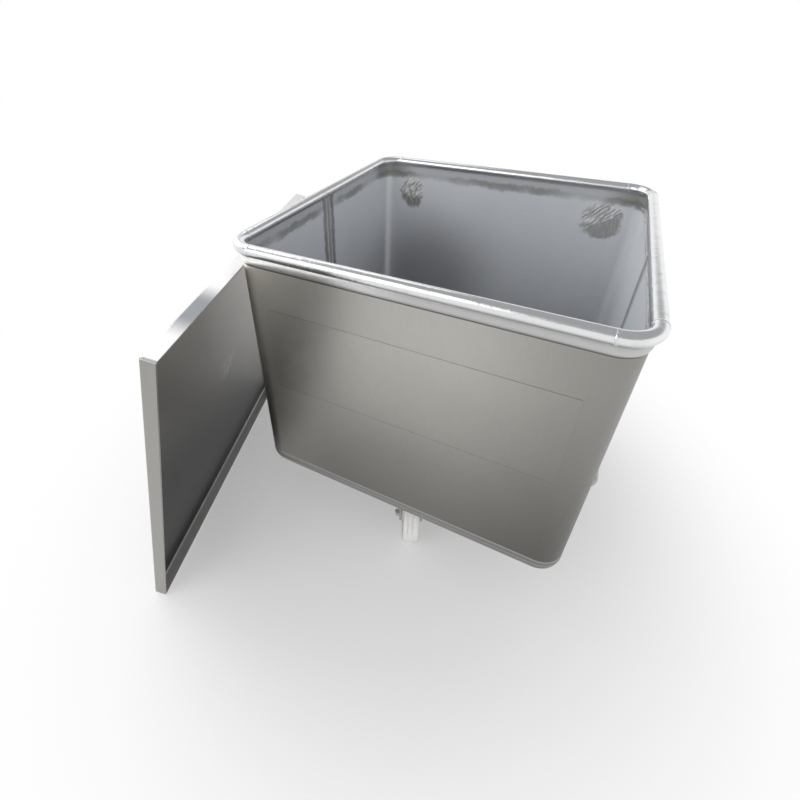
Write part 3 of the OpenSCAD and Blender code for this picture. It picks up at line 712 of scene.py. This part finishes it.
def film_finish(look, film):
    """Clear film over the satin wall, with the wall's painted light and shade and a fine dusty edge"""
    finish = Finish("clear_film_on_steel")
    place = finish.place
    x, y, z = finish.axes(place)
    # The wall's painted light and shade under the film.
    tint = finish.shade(look.wall_outside, wall_painted_light_and_grain(finish, place, x, y, z))
    sides = finish.least(finish.minus(x, film.left), finish.minus(film.right, x))
    ends = finish.least(finish.minus(z, film.low), finish.minus(film.high, z))
    reach = film.border * 0.6
    upright = finish.all_of(finish.near(sides, reach, reach), 0.3)
    dusty = finish.between(finish.noise(place, 45.0, 3.0), 0.25, 0.85)
    tint = finish.lay(tint, look.scorch_dust_and_painted_shade, finish.any_of(finish.near(ends, reach, reach), upright), dusty)
    roughness = finish.plus(0.33, finish.noise(place, 60.0, 3.0), 0.10)
    normal = finish.bump(finish.noise(place, 9.0), 0.0015, 0.5)
    return finish.surface(tint, roughness, normal, Coat_Weight=0.08, Coat_Roughness=0.25)


def put_on(material, *nodes):
    """Gives CAD nodes a material"""
    for name in nodes:
        mesh = frame["nodes"][name].data
        mesh.materials.clear()
        mesh.materials.append(material)


def wheel_turn(wheel):
    """Turn of a wheel's axle seen from above, from its spin joint"""
    axis = next(joint["axis"] for joint in frame["joints"] if joint["name"] == wheel + "_spin")
    return math.atan2(axis[1], axis[0]) if axis[0] > 0 else math.atan2(-axis[1], -axis[0])


def start_tree(name, **inputs):
    """A geometry tree with named inputs: the tree, its graph, its inputs, and its path as a curve"""
    tree = bpy.data.node_groups.new(name, "GeometryNodeTree")
    for label, kind in (("Path", "Geometry"), *inputs.items(), ("Finish", "Material")):
        tree.interface.new_socket(label, in_out="INPUT", socket_type="NodeSocket" + kind)
    tree.interface.new_socket("Piece", in_out="OUTPUT", socket_type="NodeSocketGeometry")
    graph = Graph(tree)
    given = graph.add("NodeGroupInput").outputs
    return tree, graph, given, graph.out("GeometryNodeMeshToCurve", {0: given["Path"]})


def bead_tree():
    """Geometry tree that lays overlapping ripples along a path"""
    tree, graph, given, curve = start_tree(
        "weld_bead", Pitch="Float", Length="Float", Width="Float", Height="Float", Face="Vector", Seed="Int")
    inputs = {"Curve": curve, "Length": given["Pitch"]}
    points = graph.out("GeometryNodeResampleCurve", inputs, mode="LENGTH")
    tangent = graph.out("GeometryNodeInputTangent")
    along = graph.out("FunctionNodeAlignRotationToVector", {"Vector": tangent}, axis="X")
    inputs = {"Rotation": along, "Vector": given["Face"]}
    turned = graph.out("FunctionNodeAlignRotationToVector", inputs, axis="Z", pivot_axis="X")
    inputs = {2: RIPPLE_LEAST, 3: RIPPLE_MOST, "Seed": given["Seed"]}
    wobble = graph.add("FunctionNodeRandomValue", inputs, data_type="FLOAT").outputs[1]
    size = graph.vector("SCALE", graph.point(given["Length"], given["Width"], given["Height"]))
    graph.feed(size.node.inputs["Scale"], wobble)
    ripple = graph.out("GeometryNodeMeshUVSphere", {"Segments": 10, "Rings": 6, "Radius": 0.5})
    inputs = {"Points": points, "Instance": ripple, "Rotation": turned, "Scale": size}
    return finish_tree(tree, graph, given, graph.out("GeometryNodeInstanceOnPoints", inputs))


def strip_tree():
    """Geometry tree that sweeps a low oval along a level path"""
    tree, graph, given, curve = start_tree("ground_strip", Width="Float", Height="Float")
    curve = graph.out("GeometryNodeSetCurveNormal", {0: curve}, mode="Z_UP")
    oval = graph.out("GeometryNodeCurvePrimitiveCircle", {"Resolution": 10, "Radius": 0.5})
    size = graph.point(given["Height"], given["Width"], 1.0)
    oval = graph.out("GeometryNodeTransform", {"Geometry": oval, "Scale": size})
    strip = graph.out("GeometryNodeCurveToMesh", {"Curve": curve, "Profile Curve": oval})
    return finish_tree(tree, graph, given, strip)


def finish_tree(tree, graph, given, geometry):
    """Ends a geometry tree in smooth, realized geometry with a material"""
    smooth = graph.out("GeometryNodeSetShadeSmooth", {"Geometry": geometry})
    real = graph.out("GeometryNodeRealizeInstances", {"Geometry": smooth})
    last = graph.out("GeometryNodeSetMaterial", {"Geometry": real, "Material": given["Finish"]})
    graph.links.new(last, graph.add("NodeGroupOutput").inputs[0])
    return tree


def new_object(name, data):
    made = bpy.data.objects.new(name, data)
    bpy.context.scene.collection.objects.link(made)
    return made


def path_object(name, loops, closed=True):
    """A mesh of plain edges along each loop of points"""
    points, edges = [], []
    for loop in loops:
        first = len(points)
        points.extend(loop)
        edges.extend((first + k, first + k + 1) for k in range(len(loop) - 1))
        if closed:
            edges.append((len(points) - 1, first))
    mesh = bpy.data.meshes.new(name)
    mesh.from_pydata([tuple(point) for point in points], edges, [])
    return new_object(name, mesh)


def make_piece(name, path, tree, values, body):
    """Runs a geometry tree on a path and keeps the result as a plain mesh that rides on a body"""
    modifier = path.modifiers.new(tree.name, "NODES")
    modifier.node_group = tree
    for item in tree.interface.items_tree:
        if item.in_out == "INPUT" and item.name in values:
            modifier[item.identifier] = values[item.name]
    bpy.context.view_layer.update()
    evaluated = path.evaluated_get(bpy.context.evaluated_depsgraph_get())
    mesh = bpy.data.meshes.new_from_object(evaluated)
    bpy.data.objects.remove(path)
    if not mesh.polygons:
        raise RuntimeError(name + " came out empty")
    return add_piece(name, mesh, body)


def add_piece(name, mesh, body):
    mesh.name = name
    piece = new_object(name, mesh)
    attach(piece, body)
    return piece


def ring(centre, axis, radius, start=0.0, sweep=math.tau, points=48):
    """Points of a circle, or of an arc of it, round an axis; angle 0 points up or along Y"""
    axis = Vector(axis).normalized()
    up = Vector((0, 0, 1)) if abs(axis.z) < 0.9 else Vector((0, 1, 0))
    up = (up - axis * up.dot(axis)).normalized()
    side = axis.cross(up)
    whole = abs(sweep - math.tau) < 1e-6
    steps = points if whole else points + 1
    angles = (start + sweep * k / points for k in range(steps))
    return [Vector(centre) + radius * (math.cos(a) * up + math.sin(a) * side) for a in angles]


def rounded_loop(half_w, half_d, radius, z, centre=(0, 0), points=8):
    """Points of a level rectangle with rounded corners"""
    loop = []
    for k, (sx, sy) in enumerate(CORNERS):
        for step in range(points + 1):
            angle = math.radians(90 * (k - 1) + 90 * step / points)
            x = centre[0] + sx * (half_w - radius) + radius * math.cos(angle)
            y = centre[1] + sy * (half_d - radius) + radius * math.sin(angle)
            loop.append(Vector((x, y, z)))
    return loop


def lid_matrix(lid):
    """From the lid's own frame to the row frame"""
    turn = Matrix.Rotation(lid.turn, 4, "Z") @ Matrix.Rotation(lid.lean, 4, "Y")
    return Matrix.Translation(Vector(lid.foot)) @ turn


class TROLLEY_OT_dress_tub(bpy.types.Operator):
    """Gives the tub, its rim and its bars their steel"""

    bl_idname = "trolley.dress_tub"
    bl_label = "Dress tub"

    def execute(self, context):
        look = settings().steel
        put_on(wall_finish(look), "front_shell", "rear_shell", "bottom_pan")
        put_on(collar_finish(look), "rim_collar")
        put_on(tube_finish("polished_rim_steel", look.rim, look, groove=COLLAR_TOP - 0.001), "rim_tube")
        put_on(tube_finish("bar_steel", look.bars, look, 0.06), "push_handle", "left_lift_bar", "right_lift_bar",
               "lid_grip")
        put_on(weld_finish(look), "seam_welds", "handle_welds", "lift_bar_welds", "lid_grip_welds")
        return {"FINISHED"}


class TROLLEY_OT_dress_casters(bpy.types.Operator):
    """Gives the casters their plate, fastener and nylon finishes"""

    bl_idname = "trolley.dress_casters"
    bl_label = "Dress casters"

    def execute(self, context):
        look = settings().steel
        plate = caster_finish(look)
        bright = fastener_finish(look)
        put_on(plate, "caster_pads", "left_bracket", "right_bracket")
        put_on(bright, "plate_bolts")
        for end in ("front", "rear"):
            put_on(plate, end + "_top_plate", end + "_fork")
            put_on(bright, end + "_kingpin", end + "_balls")
        for place in ("front", "rear", "left", "right"):
            put_on(bright, place + "_bush", place + "_axle_bolt", place + "_axle_nut")
            wheel = place + "_wheel"
            low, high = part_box(wheel)
            put_on(nylon_finish(wheel + "_nylon", settings().wheels, (low + high) / 2, wheel_turn(wheel)), wheel)
        return {"FINISHED"}


class TROLLEY_OT_dress_lid(bpy.types.Operator):
    """Gives the lid its brushed sheet"""

    bl_idname = "trolley.dress_lid"
    bl_label = "Dress lid"

    def execute(self, context):
        put_on(lid_finish(settings().steel, settings().lid), "lid_tray")
        return {"FINISHED"}


class TROLLEY_OT_weld_beads(bpy.types.Operator):
    """Lays rippled beads down the side seams and round bars, pads, rim joints and the lid's grip"""

    bl_idname = "trolley.weld_beads"
    bl_label = "Weld beads"

    def execute(self, context):
        size = settings().beads
        self.tree = bead_tree()
        self.finish = bpy.data.materials["weld_steel"]
        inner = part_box("seam_welds")[1].x
        seams = [[(s * inner, 0, SEAM_Z + SEAM_END), (s * inner, 0, RIM_LOW.z - SEAM_END)] for s in (-1, 1)]
        seam = self.bead("seam_beads", seams, False, size.seam_width, 2 * size.seam_height, (1, 0, 0))
        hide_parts("seam_welds")
        self.bar_beads(size)
        self.pad_beads(size)
        self.rim_beads(size)
        self.grip_beads(size)
        return {"FINISHED"}

    def bead(self, name, loops, closed, width, height, face=(0, 0, 0), finish=None, body=TUB_BODY):
        size = settings().beads
        pitch = min(size.pitch, PITCH_MOST * max(width, height))
        values = {
            "Pitch": pitch, "Length": RIPPLE_LENGTH * pitch, "Width": width, "Height": height, "Face": face,
            "Seed": size.seed, "Finish": finish or self.finish,
        }
        path = path_object(name + "_path", loops, closed)
        return make_piece(name, path, self.tree, values, body)

    def bar_beads(self, size):
        out = BEAD_OUT * size.bar_size
        feet = [ring((s * HANDLE_X, HALF_D + out, HANDLE_Z), (0, 1, 0), HANDLE_R + out) for s in (-1, 1)]
        handle = self.bead("handle_weld_beads", feet, True, size.bar_size, size.bar_size)
        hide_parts("handle_welds")
        thin = LIFT_BEAD * size.bar_size
        out = BEAD_OUT * thin
        feet = [ring((sx * (HALF_W + out), sy * LIFT_Y, LIFT_Z), (1, 0, 0), LIFT_R + out)
                for sx in (-1, 1) for sy in (-1, 1)]
        lift = self.bead("lift_weld_beads", feet, True, thin, thin)
        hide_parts("lift_bar_welds")

    def pad_beads(self, size):
        low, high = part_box("caster_pads")
        plate_low, plate_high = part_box("left_bracket")
        half_w = (plate_high.x + plate_low.x) / 2 - low.x
        half_d = high.y - sum(p.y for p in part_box("rear_top_plate")) / 2
        places = [(0, high.y - half_d), (0, half_d - high.y), (high.x - half_w, 0), (half_w - high.x, 0)]
        out = PAD_BEAD_OUT * size.pad_size
        loops = [rounded_loop(half_w + out, half_d + out, PAD_CORNER_R, high.z - out, place) for place in places]
        self.bead("pad_weld_beads", loops, True, size.pad_size, size.pad_size)

    def rim_beads(self, size):
        """Low ground beads where the tube's bends join its straight lengths"""
        polished = bpy.data.materials["polished_rim_steel"]
        bend = RIM_W - HALF_W + CORNER_R
        for name, axis in (("rim_joints_front_rear", (1, 0, 0)), ("rim_joints_sides", (0, 1, 0))):
            level = axis[0] > 0
            places = [(sx * (RIM_W - bend * level), sy * (RIM_D - bend * (not level)), RIM_Z)
                      for sx in (-1, 1) for sy in (-1, 1)]
            arcs = [ring(place, axis, RIM_R, -RIM_JOINT_ARC, 2 * RIM_JOINT_ARC, 40) for place in places]
            self.bead(name, arcs, False, 2 * size.rim_height, size.rim_width, axis, polished)

    def grip_beads(self, size):
        lid = settings().lid
        matrix = lid_matrix(lid)
        out = BEAD_OUT * size.grip_size
        axis = matrix.to_3x3() @ Vector((1, 0, 0))
        half = lid.span / 2
        feet = []
        for s in (-1, 1):
            centre = matrix @ Vector((-lid.depth - out, half + s * lid.grip_span / 2, half))
            feet.append(ring(centre, axis, lid.grip_radius + out, points=36))
        grip = self.bead("grip_weld_beads", feet, True, size.grip_size, size.grip_size, body=LID_BODY)
        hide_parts("lid_grip_welds")


class TROLLEY_OT_ground_welds(bpy.types.Operator):
    """Lays the ground weld that joins the walls to the bent floor"""

    bl_idname = "trolley.ground_welds"
    bl_label = "Ground weld"

    def execute(self, context):
        size = settings().beads
        finish = ground_weld_finish(settings().steel)
        path = path_object("floor_weld_path", [rounded_loop(HALF_W, HALF_D, CORNER_R, SEAM_Z)])
        values = {"Width": size.strip_width, "Height": 2 * size.strip_proud, "Finish": finish}
        make_piece("floor_weld", path, strip_tree(), values, TUB_BODY)
        return {"FINISHED"}


class TROLLEY_OT_clear_film(bpy.types.Operator):
    """Lays the plain clear film on the front wall"""

    bl_idname = "trolley.clear_film"
    bl_label = "Clear film"

    def execute(self, context):
        film = settings().film
        middle = ((film.left + film.right) / 2, (film.low + film.high) / 2)
        half_w = (film.right - film.left) / 2
        half_h = (film.high - film.low) / 2
        outline = rounded_loop(half_w, half_h, film.corner, 0, middle)
        count = len(outline)
        front = [(p.x, -HALF_D - film.thickness, p.y) for p in outline]
        back = [(p.x, -HALF_D, p.y) for p in outline]
        faces = [tuple(range(count)), tuple(range(2 * count - 1, count - 1, -1))]
        faces += [(k, count + k, count + (k + 1) % count, (k + 1) % count) for k in range(count)]
        mesh = bpy.data.meshes.new("clear_film")
        mesh.from_pydata(front + back, [], faces)
        mesh.materials.append(film_finish(settings().steel, film))
        add_piece("clear_film", mesh, TUB_BODY)
        return {"FINISHED"}


class TROLLEY_OT_stage(bpy.types.Operator):
    """Sets the floor, the soft light and the camera"""

    bl_idname = "trolley.stage"
    bl_label = "Stage"

    def execute(self, context):
        stage = settings().stage
        self.floor(stage)
        self.sky(context.scene, stage)
        self.lamp("side_lamp", (-2.4, 0.1, 2.1), 2.4, stage.side_power)
        self.lamp("front_lamp", (-1.1, -2.3, 2.0), 2.2, stage.front_power)
        self.lamp("rear_lamp", (-1.15, 1.2, 2.5), 1.5, stage.rear_power)
        self.camera(context.scene, stage)
        context.scene.view_settings.view_transform = "Standard"
        return {"FINISHED"}

    def seen(self, graph):
        """1 for what the camera, metal and glass see"""
        path = graph.add("ShaderNodeLightPath").outputs
        return graph.any_of(path["Is Camera Ray"], path["Is Glossy Ray"], path["Is Transmission Ray"])

    def floor(self, stage):
        """Pale floor that keeps the object's shadow near it and is plain white further off"""
        reach, middle = 60, (-0.1, -0.1, 0)
        mesh = bpy.data.meshes.new("floor")
        corners = [(reach * sx, reach * sy, 0) for sx, sy in CORNERS]
        mesh.from_pydata(corners, [], [(0, 1, 2, 3)])
        floor = new_object("floor", mesh)
        finish = Finish("pale_floor")
        paper = finish.out("ShaderNodeEmission", {"Color": colour(WHITE), "Strength": 1.0})
        plain = finish.out("ShaderNodeBsdfDiffuse", {"Color": colour(stage.floor)})
        off = finish.fade(finish.vector("DISTANCE", finish.place, middle), 0.42, 1.00)
        off = finish.between(off, stage.near_paper, 1.0)
        ahead = finish.between(finish.fade(finish.axes(finish.place)[1], -1.8, -1.1), stage.front_paper, 1.0)
        share = finish.all_of(self.seen(finish), off, ahead, stage.paper)
        both = finish.out("ShaderNodeMixShader", {0: share, 1: plain, 2: paper})
        finish.links.new(both, finish.end.inputs[0])
        mesh.materials.append(finish.material)

    def sky(self, scene, stage):
        """White at the horizon and greyer overhead, as a studio with a plain ceiling"""
        scene.world = bpy.data.worlds.new("studio")
        scene.world.use_nodes = True
        graph = Graph(scene.world.node_tree)
        graph.nodes.clear()
        across, ahead, up = graph.axes(graph.add("ShaderNodeTexCoord").outputs["Generated"])
        level = graph.fade(ahead, -0.5, 0.1, stage.front_sky, 1.0)
        rise = graph.fade(up, 0.28, 0.50, level, stage.overhead)
        white = graph.out("ShaderNodeBackground", {"Color": colour(WHITE), "Strength": rise})
        even = graph.out("ShaderNodeBackground", {"Color": colour(WHITE), "Strength": stage.sky})
        both = graph.out("ShaderNodeMixShader", {0: self.seen(graph), 1: even, 2: white})
        graph.links.new(both, graph.add("ShaderNodeOutputWorld").inputs[0])

    def lamp(self, name, place, size, power):
        light = bpy.data.lights.new(name, "AREA")
        light.shape = "DISK"
        light.size = size
        light.energy = power
        lamp = new_object(name, light)
        lamp.location = place
        aim = Vector(TUB_MIDDLE) - Vector(place)
        lamp.rotation_euler = aim.to_track_quat("-Z", "Y").to_euler()

    def camera(self, scene, stage):
        lens = bpy.data.cameras.new("photo_camera")
        lens.sensor_width = 36
        lens.lens = stage.lens
        lens.shift_x = stage.shift_x
        lens.shift_y = stage.shift_y
        lens.clip_start = 0.02
        lens.clip_end = 200
        camera = new_object("photo_camera", lens)
        turn = Matrix.Rotation(stage.heading, 4, "Z") @ Matrix.Rotation(math.pi / 2 - stage.tilt, 4, "X")
        turn = turn @ Matrix.Rotation(stage.roll, 4, "Z")
        camera.matrix_world = Matrix.Translation(Vector(stage.camera_place)) @ turn
        scene.camera = camera


STEPS = (
    TROLLEY_OT_dress_tub,
    TROLLEY_OT_dress_casters,
    TROLLEY_OT_dress_lid,
    TROLLEY_OT_weld_beads,
    TROLLEY_OT_ground_welds,
    TROLLEY_OT_clear_film,
    TROLLEY_OT_stage,
)


class TROLLEY_PT_panel(bpy.types.Panel):
    """Lists the steps that dress the trolley bin"""

    bl_idname = "TROLLEY_PT_panel"
    bl_label = "Meat trolley bin"
    bl_space_type = "VIEW_3D"
    bl_region_type = "UI"
    bl_category = "Trolley"

    def draw(self, context):
        for step in STEPS:
            self.layout.operator(step.bl_idname)


GROUPS = (SteelFinish, WheelFinish, BeadSizes, FilmSizes, LidPlace, StageSettings, TrolleySettings)
CLASSES = (*GROUPS, *STEPS, TROLLEY_PT_panel)


def register():
    for each in CLASSES:
        bpy.utils.register_class(each)
    bpy.types.Scene.trolley = PointerProperty(type=TrolleySettings)


def unregister():
    del bpy.types.Scene.trolley
    for each in reversed(CLASSES):
        bpy.utils.unregister_class(each)


def main():
    register()
    bpy.ops.trolley.dress_tub()
    bpy.ops.trolley.dress_casters()
    bpy.ops.trolley.dress_lid()
    bpy.ops.trolley.weld_beads()
    bpy.ops.trolley.ground_welds()
    bpy.ops.trolley.clear_film()
    bpy.ops.trolley.stage()


if __name__ == "__main__":
    main()
